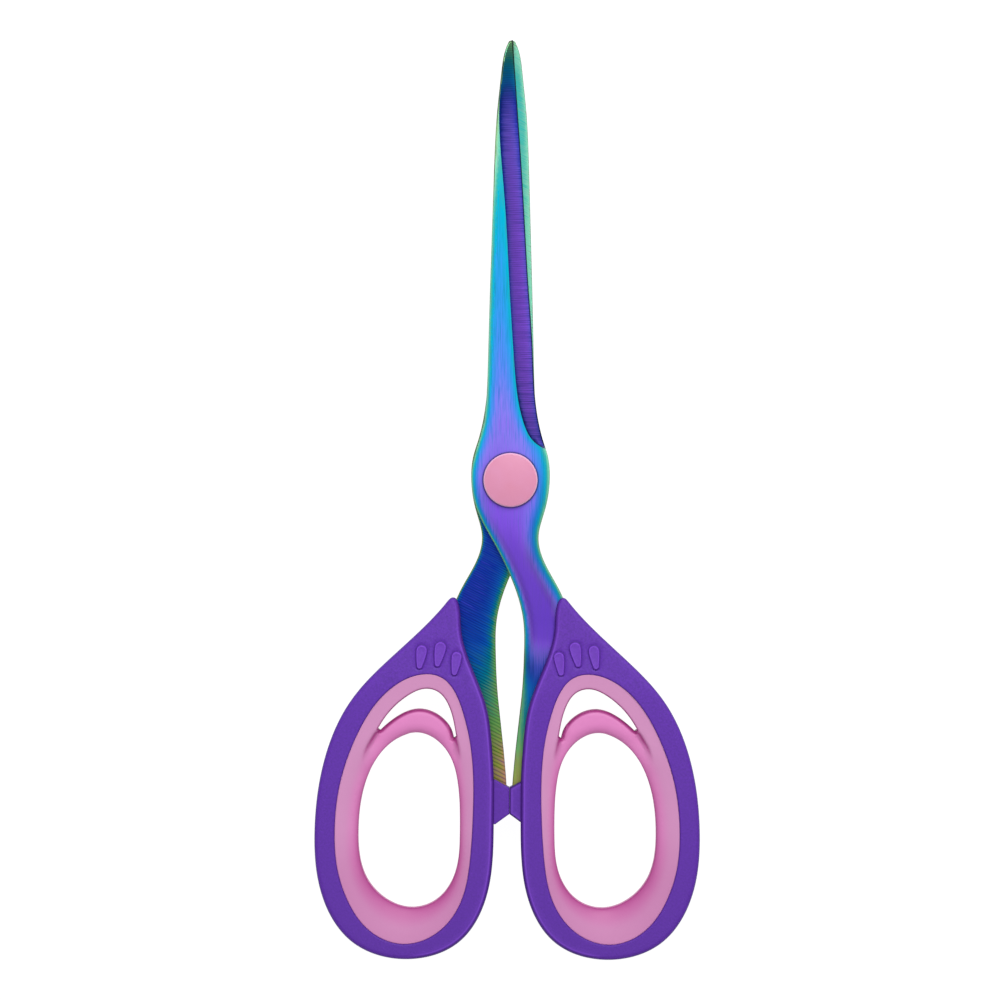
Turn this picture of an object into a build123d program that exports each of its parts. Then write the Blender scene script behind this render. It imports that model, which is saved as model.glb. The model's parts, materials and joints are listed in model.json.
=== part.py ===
"""Household scissors with plain hollow-ground blades, a capped rivet and hard handles with soft linings.

They lie flat on a table, closed: X runs across them, Y towards the blade tips and Z up. The origin is on
the table, under the middle of their whole length and width. The two halves are one shape: the rear half
is the front half turned over about the Y axis, so each piece is drawn once and made on either half's plane.
All sizes are in millimetres.
"""

from build123d import *

import os

# Overall sizes. The pivot axis is where the two blades cross.
TIP_REACH = 103.5  # pivot axis to the blade tips
LOOP_REACH = 112.5  # pivot axis to the ends of the loops
HANDLE_THICKNESS = 11.0
PIVOT_X = 0.5  # the blades sit this far to the front handle's side of the middle of the loops
PIVOT_Y = (LOOP_REACH - TIP_REACH) / 2
RIDE_Z = HANDLE_THICKNESS / 2  # height of the plane where the blades slide on each other

# Blades
BLADE_THICKNESS = 2.0
EDGE_THICKNESS = 0.3  # what the hollow grind leaves at the cutting edge
TANG_HOLE_RADIUS = 1.2
TANG_HOLES = [(12.3, -36.8), (8.2, -50.5)]

# Pivot
SHANK_RADIUS = 2.5
BORE_CLEARANCE = 0.05  # radial, in the blade that turns
WASHER_RADIUS = 5.4
WASHER_THICKNESS = 0.4
HEAD_RADIUS = 4.3
HEAD_HEIGHT = 0.9
TAIL_RADIUS = 3.7
TAIL_HEIGHT = 0.8
CAP_RADIUS = 6.35
CAP_GAP = 0.1  # between a cap's rim and the blade under it
CAP_RIM_HEIGHT = 1.4
CAP_CROWN = 0.7  # rise of the dome above the rim
CAP_ROUNDING = 0.5
CAP_FIT = 0.02  # between a cap's socket and the rivet's end

# Handles
HANDLE_ROUNDING = 0.8
SHOULDER_FOOT_Y = -49.5  # where the shoulder starts to slope down towards the blade
SHOULDER_FALL = 0.084  # fall of the shoulder for each millimetre towards its tip
STOP_HALF_THICKNESS = 4.3
STOP_GAP = 0.05  # from the middle plane to each stop's face
DROP_HEIGHT = 0.3  # of the raised drops on the shoulder
DROP_TAIL_RADIUS = 0.65
DROPS = [  # head centre, tail centre and head radius
    ((20.2, -40.1), (20.6, -43.6), 1.25),
    ((15.8, -39.2), (16.5, -43.4), 1.35),
    ((12.0, -41.5), (12.6, -45.2), 1.2),
]

# Linings
LINING_HALF_THICKNESS = 5.0
ARCH_HALF_THICKNESS = 3.5
ARCH_FADE = (-61.0, -68.5)  # from where to where the arch's face rises into the lining's face

# The planes of the two halves: origin on the pivot axis, +X to the half's own handle, +Z to its outer face.
FRONT = Plane(origin=(PIVOT_X, PIVOT_Y, RIDE_Z))
REAR = Plane(origin=(PIVOT_X, PIVOT_Y, RIDE_Z), x_dir=(-1, 0, 0), z_dir=(0, 0, -1))

# Blade outline, on a half's plane
CUTTING_EDGE = [(0.2, TIP_REACH), (1.3, 88.5), (2.87, 65.4), (4.07, 45.4), (5.1, 31.0), (5.65, 20.0),
                (6.6, 13.4), (8.3, 7.3)]
HEEL = [(8.3, 7.3), (9.25, 0.3), (8.1, -7.2), (6.6, -13.4), (7.9, -19.0), (11.65, -25.9), (13.6, -31.0),
        (14.1, -37.0), (12.3, -45.5), (9.0, -54.0), (6.6, -62.0), (5.2, -70.0), (4.7, -74.5)]
INNER_SIDE = [(0.5, -74.5), (0.95, -68.2), (1.9, -58.8), (2.95, -49.0), (3.35, -40.0), (3.2, -33.5),
              (1.9, -27.5), (-0.2, -22.0), (-3.5, -15.3), (-6.6, -9.8), (-9.2, -0.5)]
SPINE = [(-9.2, -0.5), (-8.7, 4.7), (-7.3, 9.6), (-6.2, 14.1), (-5.65, 20.0), (-5.25, 34.0), (-4.7, 54.0),
         (-4.05, 75.0), (-3.4, 87.0), (-2.5, 95.5), (-1.5, 101.4), (-0.7, 103.2)]

# The hollow grind: its upper line on the blade's face, its lower line just past the cutting edge
GRIND_TOP = [(-1.2, 104.5), (-2.2, 96.0), (-3.0, 86.5), (-2.7, 78.5), (-1.4, 63.3), (-0.5, 46.8),
             (0.65, 29.0), (1.15, 23.0), (2.0, 17.2), (3.15, 13.0), (4.8, 9.7), (6.4, 8.2), (9.0, 7.0)]
GRIND_BOTTOM = [(0.3, 104.5), (1.4, 88.5), (2.95, 65.4), (4.15, 45.4), (5.2, 31.0), (5.75, 20.0),
                (6.7, 13.4), (9.0, 7.0)]
GRIND_RUNOUT_X = 16.0

# Handle and lining outlines, on a half's plane
HANDLE_OUTSIDE = [(14.1, -28.4), (20.0, -34.9), (28.0, -42.35), (36.8, -51.9), (43.0, -65.9), (45.2, -82.4),
                  (43.0, -98.8), (36.7, -108.2), (24.5, -LOOP_REACH), (10.9, -108.2), (5.1, -98.8), (3.3, -88.0),
                  (3.15, -79.0), (3.2, -70.0), (3.7, -62.0), (4.9, -53.5), (6.95, -47.6), (9.3, -41.8),
                  (11.0, -35.0), (11.6, -29.0), (12.6, -27.5), (13.6, -27.7)]
STOP = [(STOP_GAP, -72.3), (3.3, -70.4), (5.0, -70.4), (5.0, -80.8), (3.3, -80.8), (STOP_GAP, -78.4)]
LINING_OUTSIDE = [(18.6, -45.6), (22.4, -46.2), (26.6, -48.4), (30.6, -52.2), (35.6, -60.6), (39.1, -70.6),
                  (40.5, -82.4), (39.7, -92.0), (37.3, -99.0), (32.2, -105.9), (24.2, -109.0), (15.8, -105.9),
                  (10.7, -98.8), (8.7, -89.4), (8.0, -78.0), (8.2, -66.2), (9.3, -58.9), (10.5, -54.4),
                  (12.4, -49.7), (15.0, -46.7)]
FINGER_HOLE = [(23.1, -59.6), (29.2, -63.5), (33.3, -71.0), (35.0, -82.4), (32.8, -94.0), (28.1, -98.8),
               (22.3, -100.6), (16.6, -98.8), (12.8, -94.0), (11.1, -82.4), (11.7, -70.6), (14.3, -63.5)]
CRESCENT_TOP = [(12.0, -60.3), (12.6, -56.9), (13.8, -53.0), (16.2, -49.8), (18.9, -49.0), (23.6, -50.8),
                (28.4, -55.3), (30.5, -58.6)]
CRESCENT_BELOW = [(29.9, -58.9), (27.3, -56.6), (20.7, -53.8), (15.0, -56.2), (12.6, -60.7)]
ARCH_SIDES = [(34.8, -68.5), (30.5, -58.6), (20.0, -51.5), (12.0, -60.3), (11.2, -68.5)]


def make_blade(half, bore_radius, label):
    """One blade and its tang: a flat stamping, hollow ground on its outer face."""
    with BuildPart() as blade:
        with BuildSketch(half):
            with BuildLine():
                Spline(*CUTTING_EDGE)
                Spline(*HEEL)
                Line(HEEL[-1], INNER_SIDE[0])
                Spline(*INNER_SIDE)
                Spline(*SPINE)
                Line(SPINE[-1], CUTTING_EDGE[0])
            make_face()
            Circle(bore_radius, mode=Mode.SUBTRACT)
            with Locations(*TANG_HOLES):
                Circle(TANG_HOLE_RADIUS, mode=Mode.SUBTRACT)
        extrude(amount=BLADE_THICKNESS)
        for height, line in ((BLADE_THICKNESS, GRIND_TOP), (EDGE_THICKNESS, GRIND_BOTTOM)):
            with BuildSketch(half.offset(height)):
                with BuildLine():
                    Spline(*line)
                    Polyline(line[-1], (GRIND_RUNOUT_X, line[-1][1]), (GRIND_RUNOUT_X, line[0][1]), line[0])
                make_face()
        loft(ruled=True, mode=Mode.SUBTRACT)
    blade.part.label = label
    return blade.part


def closed_outline(points):
    """A smooth closed outline through the points."""
    with BuildSketch() as outline:
        with BuildLine():
            Spline(*points, periodic=True)
        make_face()
    return outline.sketch


def crescent_outline():
    """The gap between a lining and its springy arch."""
    with BuildSketch() as outline:
        with BuildLine():
            Spline(*CRESCENT_TOP)
            Line(CRESCENT_TOP[-1], CRESCENT_BELOW[0])
            Spline(*CRESCENT_BELOW)
            Line(CRESCENT_BELOW[-1], CRESCENT_TOP[0])
        make_face()
    return outline.sketch


def moulding_plane(half):
    """The plane that a half's handle and lining are drawn on, in the middle between the loops."""
    return Plane(origin=half.origin - Vector(PIVOT_X, 0, 0), x_dir=half.x_dir, z_dir=half.z_dir)


def side_profile(half):
    """The plane to draw a half's side view on: X along the half's Y, and Y away from the ride plane."""
    return Plane(origin=half.origin, x_dir=half.y_dir, z_dir=half.x_dir)


def make_handle(half, blade, label):
    """One hard handle, moulded over its blade's tang. Its faces are alike, so one is mirrored."""
    half_thickness = HANDLE_THICKNESS / 2
    moulding = moulding_plane(half)
    slope_end = half_thickness + SHOULDER_FOOT_Y * SHOULDER_FALL
    slope = Plane(moulding.from_local_coords((0, 0, slope_end)), half.x_dir, half.z_dir + half.y_dir * SHOULDER_FALL)
    with BuildPart() as handle:
        with BuildSketch(moulding):
            add(closed_outline(HANDLE_OUTSIDE))
        extrude(amount=half_thickness)
        with BuildSketch(side_profile(half)):
            with BuildLine():
                Polyline((SHOULDER_FOOT_Y, half_thickness), (0, slope_end), (0, half_thickness), close=True)
            make_face()
        extrude(amount=LOOP_REACH, mode=Mode.SUBTRACT)
        top_faces = handle.faces().sort_by(Axis(half.origin, half.z_dir))[-2:]
        fillet(top_faces.edges().filter_by(Axis.X, reverse=True), HANDLE_ROUNDING)
        with BuildSketch(half):
            with BuildLine():
                Polyline(*STOP, close=True)
            make_face()
        extrude(amount=STOP_HALF_THICKNESS)
        with BuildSketch(moulding):
            add(closed_outline(LINING_OUTSIDE))
        extrude(amount=half_thickness, mode=Mode.SUBTRACT)
        for head, tail, head_radius in DROPS:
            with BuildSketch(slope):
                with Locations(head):
                    Circle(head_radius)
                with Locations(tail):
                    Circle(DROP_TAIL_RADIUS)
                make_hull()
            extrude(amount=DROP_HEIGHT, both=True)
        mirror(about=half)
        add(blade, mode=Mode.SUBTRACT)
    handle.part.label = label
    return handle.part


def arch_hollow(half):
    """What is cut off above a lining's arch, which is thinner than the lining and fades into it."""
    fade_start, fade_end = ARCH_FADE
    with BuildPart() as hollow:
        with BuildSketch(half):
            with BuildLine():
                Spline(*ARCH_SIDES)
                Line(ARCH_SIDES[-1], ARCH_SIDES[0])
            make_face()
        extrude(amount=2 * LINING_HALF_THICKNESS)
        with BuildSketch(side_profile(half)):
            with BuildLine():
                Polyline((0, ARCH_HALF_THICKNESS), (fade_start, ARCH_HALF_THICKNESS),
                         (fade_end, LINING_HALF_THICKNESS), (0, LINING_HALF_THICKNESS), close=True)
            make_face()
        extrude(amount=LOOP_REACH, mode=Mode.INTERSECT)
    return hollow.part


def make_lining(half, label):
    """One soft lining, with a springy arch across the top of its finger hole."""
    moulding = moulding_plane(half)
    with BuildPart() as lining:
        with BuildSketch(moulding):
            add(closed_outline(LINING_OUTSIDE))
            add(closed_outline(FINGER_HOLE), mode=Mode.SUBTRACT)
            add(crescent_outline(), mode=Mode.SUBTRACT)
        extrude(amount=LINING_HALF_THICKNESS)
        add(arch_hollow(moulding), mode=Mode.SUBTRACT)
        mirror(about=moulding)
    lining.part.label = label
    return lining.part


def make_rivet():
    """The shouldered rivet, its head in front and its peened tail behind."""
    stack = BLADE_THICKNESS + WASHER_THICKNESS
    with BuildPart() as rivet:
        with BuildSketch(FRONT.offset(-stack)):
            Circle(SHANK_RADIUS)
        extrude(amount=2 * stack)
        with BuildSketch(FRONT.offset(stack)):
            Circle(HEAD_RADIUS)
        extrude(amount=HEAD_HEIGHT)
        with BuildSketch(REAR.offset(stack)):
            Circle(TAIL_RADIUS)
        extrude(amount=TAIL_HEIGHT)
        fillet(rivet.edges().group_by(Axis.Z)[-1], HEAD_HEIGHT / 2)
        fillet(rivet.edges().group_by(Axis.Z)[0], TAIL_HEIGHT / 2)
    rivet.part.label = "pivot_rivet"
    return rivet.part


def make_washer(half, label):
    """The flat washer between a blade and the rivet's head or tail."""
    with BuildPart() as washer:
        with BuildSketch(half.offset(BLADE_THICKNESS)):
            Circle(WASHER_RADIUS)
            Circle(SHANK_RADIUS, mode=Mode.SUBTRACT)
        extrude(amount=WASHER_THICKNESS)
    washer.part.label = label
    return washer.part


def make_cap(half, end_radius, end_height, label):
    """The domed plastic cap that snaps over a washer and one end of the rivet."""
    foot = BLADE_THICKNESS + CAP_GAP
    washer_top = BLADE_THICKNESS + WASHER_THICKNESS
    rim_top = foot + CAP_RIM_HEIGHT
    dome_radius = (CAP_RADIUS**2 + CAP_CROWN**2) / (2 * CAP_CROWN)
    with BuildPart() as cap:
        with BuildSketch(Plane(origin=half.origin, x_dir=half.x_dir, z_dir=-half.y_dir)):
            with BuildLine():
                Polyline((0, foot), (CAP_RADIUS, foot), (CAP_RADIUS, rim_top))
                RadiusArc((CAP_RADIUS, rim_top), (0, rim_top + CAP_CROWN), -dome_radius)
                Line((0, rim_top + CAP_CROWN), (0, foot))
            make_face()
        revolve(axis=Axis(half.origin, half.z_dir))
        rims = cap.edges().filter_by(lambda edge: edge.is_closed)
        fillet(rims.sort_by(Axis(half.origin, half.z_dir))[-1], CAP_ROUNDING)
        with BuildSketch(half.offset(foot)):
            Circle(WASHER_RADIUS + CAP_FIT)
        extrude(amount=washer_top - foot, mode=Mode.SUBTRACT)
        with BuildSketch(half.offset(washer_top)):
            Circle(end_radius + CAP_FIT)
        extrude(amount=end_height + CAP_FIT, mode=Mode.SUBTRACT)
    cap.part.label = label
    return cap.part


def main():
    front_blade = make_blade(FRONT, SHANK_RADIUS + BORE_CLEARANCE, "front_blade")
    rear_blade = make_blade(REAR, SHANK_RADIUS, "rear_blade")
    pieces = [
        front_blade,
        rear_blade,
        make_handle(FRONT, front_blade, "front_handle"),
        make_handle(REAR, rear_blade, "rear_handle"),
        make_lining(FRONT, "front_lining"),
        make_lining(REAR, "rear_lining"),
        make_rivet(),
        make_washer(FRONT, "front_washer"),
        make_washer(REAR, "rear_washer"),
        make_cap(FRONT, HEAD_RADIUS, HEAD_HEIGHT, "front_cap"),
        make_cap(REAR, TAIL_RADIUS, TAIL_HEIGHT, "rear_cap"),
    ]
    os.makedirs("parts", exist_ok=True)
    for piece in pieces:
        export_step(piece, f"parts/{piece.label}.step")


main()
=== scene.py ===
"""Household scissors with a rainbow coating, purple handles and soft pink linings.

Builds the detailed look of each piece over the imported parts. A half of the scissors is drawn in millimetres
on its own plane: u runs from the pivot towards that half's handle, v towards the tips and w out of the plane
where the blades slide on each other. The rear half is the front half turned over about the v axis.
"""

import json
import math

import bmesh
import bpy
import numpy as np
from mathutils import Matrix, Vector
from mathutils.geometry import delaunay_2d_cdt


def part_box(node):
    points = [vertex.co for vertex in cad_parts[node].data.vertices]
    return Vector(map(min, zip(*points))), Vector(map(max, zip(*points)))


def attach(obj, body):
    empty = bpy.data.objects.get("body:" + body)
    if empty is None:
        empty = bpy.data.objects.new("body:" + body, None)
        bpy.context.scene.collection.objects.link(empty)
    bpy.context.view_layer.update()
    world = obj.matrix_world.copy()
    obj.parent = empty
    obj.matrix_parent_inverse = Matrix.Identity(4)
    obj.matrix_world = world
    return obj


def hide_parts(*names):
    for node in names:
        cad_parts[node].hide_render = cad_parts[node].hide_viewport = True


bl_info = {
    "name": "Rainbow Household Scissors",
    "version": (1, 0, 0),
    "blender": (4, 5, 0),
    "location": "3D View > Sidebar > Scissors",
    "description": "Builds coated household scissors with soft finger loops",
    "category": "Add Mesh",
}

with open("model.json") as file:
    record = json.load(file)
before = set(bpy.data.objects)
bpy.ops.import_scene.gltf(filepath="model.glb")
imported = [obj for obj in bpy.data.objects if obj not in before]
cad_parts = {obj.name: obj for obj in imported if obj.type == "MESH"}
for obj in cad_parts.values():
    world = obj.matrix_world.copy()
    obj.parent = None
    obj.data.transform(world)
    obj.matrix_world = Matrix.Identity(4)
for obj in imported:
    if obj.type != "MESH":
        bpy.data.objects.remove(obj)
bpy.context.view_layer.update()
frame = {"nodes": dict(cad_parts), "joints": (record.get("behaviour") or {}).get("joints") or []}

MM = 0.001
PIVOT = [value / MM for value in frame["joints"][0]["pos_m"]]
LOOPS = [0.0, PIVOT[1], PIVOT[2]]
SIDES = {"front": 1, "rear": -1}
HALF_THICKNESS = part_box("front_handle")[1].z / MM - PIVOT[2]


# ---------------------------------------------------------------- settings


class ScissorsSizes(bpy.types.PropertyGroup):
    """Sizes of the details, in millimetres unless a description says otherwise."""

    spacing: bpy.props.FloatProperty(
        name="Mesh Spacing", description="Distance between points along an outline", default=0.4, min=0.2
    )
    blade_rounding: bpy.props.FloatProperty(
        name="Blade Rounding", description="Radius of the blades' polished edges", default=0.35, min=0.0
    )
    edge_thickness: bpy.props.FloatProperty(
        name="Edge Thickness", description="Steel left at the cutting edge", default=0.3, min=0.05
    )
    hollow: bpy.props.FloatProperty(
        name="Hollow", description="How concave the hollow grind is; 1 is flat", default=1.25, min=1.0
    )
    handle_rounding: bpy.props.FloatProperty(
        name="Handle Rounding", description="Radius of the handles' outer edges", default=1.1, min=0.1
    )
    inner_rounding: bpy.props.FloatProperty(
        name="Inner Rounding", description="Radius of the handles' edges beside the linings", default=0.35
    )
    drop_height: bpy.props.FloatProperty(
        name="Drop Height", description="How far the drops on the shoulders stand out", default=0.38, min=0.0
    )
    arch_height: bpy.props.FloatProperty(
        name="Arch Height", description="Half thickness of the springy arch", default=3.5, min=1.0
    )
    lining_height: bpy.props.FloatProperty(
        name="Lining Height", description="Half thickness of the lining beside the handle", default=5.0, min=1.0
    )


class ScissorsColours(bpy.types.PropertyGroup):
    """Colours of the mouldings and of the stage."""

    handle: bpy.props.FloatVectorProperty(
        name="Handle", description="Purple of the hard handles", subtype="COLOR", default=(0.168, 0.035, 0.58)
    )
    band: bpy.props.FloatVectorProperty(
        name="Lining Band", description="Pale pink of the lining's band", subtype="COLOR", default=(0.69, 0.28, 0.55)
    )
    lip: bpy.props.FloatVectorProperty(
        name="Lining Lip", description="Deep pink of the lining's lip and arch", subtype="COLOR",
        default=(0.8, 0.22, 0.57)
    )
    cap: bpy.props.FloatVectorProperty(
        name="Cap", description="Dusty pink of the pivot caps", subtype="COLOR", default=(0.74, 0.295, 0.5)
    )
    floor: bpy.props.FloatVectorProperty(
        name="Floor", description="Colour of the plain floor", subtype="COLOR", default=(0.9, 0.9, 0.9)
    )


# ---------------------------------------------------------------- outlines

SMOOTHING_PASSES = 6


def section_loops(node_name, side, height, origin):
    """The closed outlines, in (u, v) from an origin, where the plane w = height cuts a part."""
    cut = bmesh.new()
    cut.from_mesh(frame["nodes"][node_name].data)
    bmesh.ops.remove_doubles(cut, verts=cut.verts, dist=1e-7)
    points, links = {}, {}
    for edge in cut.edges:
        w0, w1 = (side * (vertex.co.z / MM - origin[2]) - height for vertex in edge.verts)
        if (w0 > 0) != (w1 > 0):
            place = edge.verts[0].co.lerp(edge.verts[1].co, w0 / (w0 - w1)) / MM
            points[edge.index] = (side * (place.x - origin[0]), place.y - origin[1])
    for face in cut.faces:
        crossed = [edge.index for edge in face.edges if edge.index in points]
        if len(crossed) == 2:
            links.setdefault(crossed[0], []).append(crossed[1])
            links.setdefault(crossed[1], []).append(crossed[0])
    cut.free()
    loops = []
    while links:
        key = next(iter(links))
        loop = []
        while key is not None:
            loop.append(points[key])
            key = next((other for other in links.pop(key) if other in links), None)
        loops.append(np.array(loop))
    return sorted(loops, key=lambda loop: -abs(area(loop)))


def area(loop):
    """Signed area of a closed outline, positive where it runs anticlockwise."""
    after = np.roll(loop, -1, axis=0)
    return 0.5 * np.sum(loop[:, 0] * after[:, 1] - after[:, 0] * loop[:, 1])


def evenly(line, spacing):
    """An open line with its points spread evenly, both ends kept, and its facets smoothed."""
    run = np.concatenate([[0.0], np.cumsum(np.linalg.norm(np.diff(line, axis=0), axis=1))])
    count = max(2, int(round(run[-1] / spacing)) + 1)
    at = np.linspace(0.0, run[-1], count)
    even = np.column_stack([np.interp(at, run, line[:, 0]), np.interp(at, run, line[:, 1])])
    for _ in range(SMOOTHING_PASSES):
        even[1:-1] = 0.5 * even[1:-1] + 0.25 * (even[:-2] + even[2:])
    return even


def smooth_outline(loop, spacing, corner=35.0):
    """A closed outline, anticlockwise, with even points, smooth but for its real corners."""
    if area(loop) < 0:
        loop = loop[::-1]
    keep = np.linalg.norm(loop - np.roll(loop, 1, axis=0), axis=1) > 0.01
    loop = loop[keep]
    arrive = loop - np.roll(loop, 1, axis=0)
    leave = np.roll(loop, -1, axis=0) - loop
    turn = np.degrees(np.abs(np.arctan2(arrive[:, 0] * leave[:, 1] - arrive[:, 1] * leave[:, 0],
                                        np.sum(arrive * leave, axis=1))))
    corners = list(np.flatnonzero(turn > corner)) or [0]
    loop = np.roll(loop, -corners[0], axis=0)
    stops = [index - corners[0] for index in corners] + [len(loop)]
    closed = np.vstack([loop, loop[:1]])
    spans = [evenly(closed[start:stop + 1], spacing)[:-1] for start, stop in zip(stops, stops[1:])]
    return np.vstack(spans)


def distance(places, line, closed=True):
    """Distance from each place to a line of points."""
    ends = np.roll(line, -1, axis=0) if closed else line[1:]
    starts = line if closed else line[:-1]
    along = ends - starts
    lengths = np.maximum(np.sum(along * along, axis=1), 1e-12)
    nearest = np.empty(len(places))
    for first in range(0, len(places), 2000):
        block = places[first:first + 2000]
        offset = block[:, None, :] - starts[None]
        t = np.clip(np.sum(offset * along[None], axis=2) / lengths, 0.0, 1.0)
        gap = offset - t[:, :, None] * along[None]
        nearest[first:first + 2000] = np.sqrt(np.min(np.sum(gap * gap, axis=2), axis=1))
    return nearest


def inside(places, loop):
    """Whether each place is inside a closed outline."""
    result = np.zeros(len(places), bool)
    for (u0, v0), (u1, v1) in zip(loop, np.roll(loop, -1, axis=0)):
        if v0 != v1:
            level = (v0 > places[:, 1]) != (v1 > places[:, 1])
            result ^= level & (places[:, 0] < (u1 - u0) * (places[:, 1] - v0) / (v1 - v0) + u0)
    return result


def inside_all(places, loops):
    """Whether each place is inside the first outline and outside the others, which are holes."""
    result = inside(places, loops[0])
    for hole in loops[1:]:
        result &= ~inside(places, hole)
    return result


def clear_of(places, loops):
    """Distance from each place to the nearest of several closed outlines."""
    return np.min([distance(places, loop) for loop in loops], axis=0)


def step(low, high, value):
    """Rises smoothly from 0 at low to 1 at high."""
    t = np.clip((value - low) / (high - low), 0.0, 1.0)
    return t * t * (3.0 - 2.0 * t)


def roll_off(gap, width, fall):
    """How far a rounded edge of that width and fall has dropped, at a distance from its foot."""
    t = np.clip(gap / width, 0.0, 1.0)
    return fall * (1.0 - np.sqrt(np.maximum(0.0, 1.0 - (1.0 - t) ** 2)))


# ---------------------------------------------------------------- meshes

# How near the points of a mesh may come: shares of a row's distance or of the grid's spacing, then millimetres.
ROW_CLEARANCE = 0.93
GRID_CLEARANCE = 0.45
LINE_CLEARANCE = 0.4
POINT_CLEARANCE = 0.3
LEAST_GAP = 0.08
LEAST_EDGE_GAP = 0.14


def fill(loops, rows, spacing, inner_lines=(), extra_points=None):
    """Points and triangles that fill an outline with holes, in rows beside its edges and a grid elsewhere.

    inner_lines are kept as edges of the mesh, and extra_points as points of it.
    """
    points, edges = [], []
    for loop in loops:
        first = len(points)
        points.extend(map(tuple, loop))
        edges.extend((first + k, first + (k + 1) % len(loop)) for k in range(len(loop)))
    for line in inner_lines:
        first = len(points)
        points.extend(map(tuple, line))
        edges.extend((first + k, first + k + 1) for k in range(len(line) - 1))
    taken = len(points)
    for loop in loops:
        tangent = np.roll(loop, -1, axis=0) - np.roll(loop, 1, axis=0)
        tangent /= np.maximum(np.linalg.norm(tangent, axis=1), 1e-9)[:, None]
        normal = np.column_stack([-tangent[:, 1], tangent[:, 0]])
        if loop is not loops[0]:
            normal = -normal
        for row in rows:
            places = loop + normal * row
            gap = clear_of(places, loops)
            good = inside_all(places, loops) & (gap > ROW_CLEARANCE * row)
            points.extend(map(tuple, places[good]))
    low, high = loops[0].min(axis=0), loops[0].max(axis=0)
    columns = np.arange(low[0], high[0], spacing)
    lines = np.arange(low[1], high[1], spacing * 0.866)
    grid = np.array([(u + (k % 2) * spacing / 2, v) for k, v in enumerate(lines) for u in columns])
    grid = grid[inside_all(grid, loops)]
    grid = grid[clear_of(grid, loops) > rows[-1] + GRID_CLEARANCE * spacing]
    for line in inner_lines:
        grid = grid[distance(grid, line, closed=False) > LINE_CLEARANCE * spacing]
        extra = np.array(points[taken:])
        near = distance(extra, line, closed=False) < LEAST_GAP
        points = points[:taken] + list(map(tuple, extra[~near]))
    if extra_points is not None:
        extra_points = extra_points[inside_all(extra_points, loops)]
        extra_points = extra_points[clear_of(extra_points, loops) > LEAST_EDGE_GAP]
        apart = np.linalg.norm(grid[:, None, :] - extra_points[None], axis=2).min(axis=1)
        grid = grid[apart > POINT_CLEARANCE * spacing]
        points.extend(map(tuple, extra_points))
    points.extend(map(tuple, grid))
    flat = [Vector(point) for point in points]
    placed, _, triangles, _, _, _ = delaunay_2d_cdt(flat, edges, [], 0, 1e-6)
    places = np.array([tuple(point) for point in placed])
    triangles = np.array(triangles)
    middles = places[triangles].mean(axis=1)
    return places, triangles[inside_all(middles, loops)], [len(loop) for loop in loops]


def closed_shell(places, triangles, counts, top, bottom, levels):
    """Vertices and faces of a solid between two heights over the same points, with walls at the outlines.

    levels are the fractions of the height where a wall has extra rings of points.
    """
    total = len(places)
    vertices = np.vstack([np.column_stack([places, top]), np.column_stack([places, bottom])])
    faces = [tuple(face) for face in triangles]
    faces += [tuple(face[::-1] + total) for face in triangles]
    rings_from = len(vertices)
    extra = []
    first = 0
    for number, count in enumerate(counts):
        ring = np.arange(first, first + count)
        stack = [ring + total]
        for level in levels:
            height = bottom[ring] + level * (top[ring] - bottom[ring])
            extra.append(np.column_stack([places[ring], height]))
            stack.append(np.arange(rings_from, rings_from + count))
            rings_from += count
        stack.append(ring)
        for lower, upper in zip(stack, stack[1:]):
            for k in range(count):
                n = (k + 1) % count
                quad = (lower[k], lower[n], upper[n], upper[k])
                faces.append(quad if number == 0 else quad[::-1])
        first += count
    if extra:
        vertices = np.vstack([vertices, *extra])
    return vertices, faces


def piece(name, half, origin, vertices, faces, material, sharp):
    """A mesh object from half coordinates about an origin, riding on its half."""
    side = SIDES[half]
    places = np.column_stack([
        origin[0] + side * vertices[:, 0], origin[1] + vertices[:, 1], origin[2] + side * vertices[:, 2]
    ]) * MM
    mesh = bpy.data.meshes.new(name)
    mesh.from_pydata(places.tolist(), [], [tuple(int(index) for index in face) for face in faces])
    mesh.polygons.foreach_set("use_smooth", [True] * len(mesh.polygons))
    mesh.set_sharp_from_angle(angle=math.radians(sharp))
    mesh.materials.append(material)
    mesh.update()
    body = bpy.data.objects.new(name, mesh)
    bpy.context.scene.collection.objects.link(body)
    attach(body, half + "_half")
    return body


def paint(body, name, values, domain="POINT"):
    """Stores a number or a vector for each vertex, or each face corner where it changes sharply at an edge."""
    values = np.asarray(values, np.float32)
    kind, key = ("FLOAT", "value") if values.ndim == 1 else ("FLOAT_VECTOR", "vector")
    body.data.attributes.new(name, kind, domain).data.foreach_set(key, values.ravel())


# ---------------------------------------------------------------- materials


def new_group(name, inputs, outputs):
    """A shader node group with named sockets; returns it with its input and output nodes."""
    group = bpy.data.node_groups.new(name, "ShaderNodeTree")
    for label, kind, default in inputs:
        made = group.interface.new_socket(name=label, in_out="INPUT", socket_type="NodeSocket" + kind)
        if default is not None:
            made.default_value = default
    for label, kind in outputs:
        group.interface.new_socket(name=label, in_out="OUTPUT", socket_type="NodeSocket" + kind)
    return group, group.nodes.new("NodeGroupInput"), group.nodes.new("NodeGroupOutput")


def ramp_node(tree, stops):
    """A colour ramp with (position, colour) stops."""
    node = tree.nodes.new("ShaderNodeValToRGB")
    ramp = node.color_ramp
    while len(ramp.elements) < len(stops):
        ramp.elements.new(0.5)
    for element, (position, colour) in zip(ramp.elements, stops):
        element.position = position
        element.color = (*colour, 1.0)
    return node


def feed(tree, place, value):
    """Links a socket to an input, or sets the input to a number or a colour."""
    if isinstance(value, bpy.types.NodeSocket):
        tree.links.new(value, place)
    else:
        place.default_value = (*value, 1.0) if isinstance(value, tuple) else value


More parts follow.
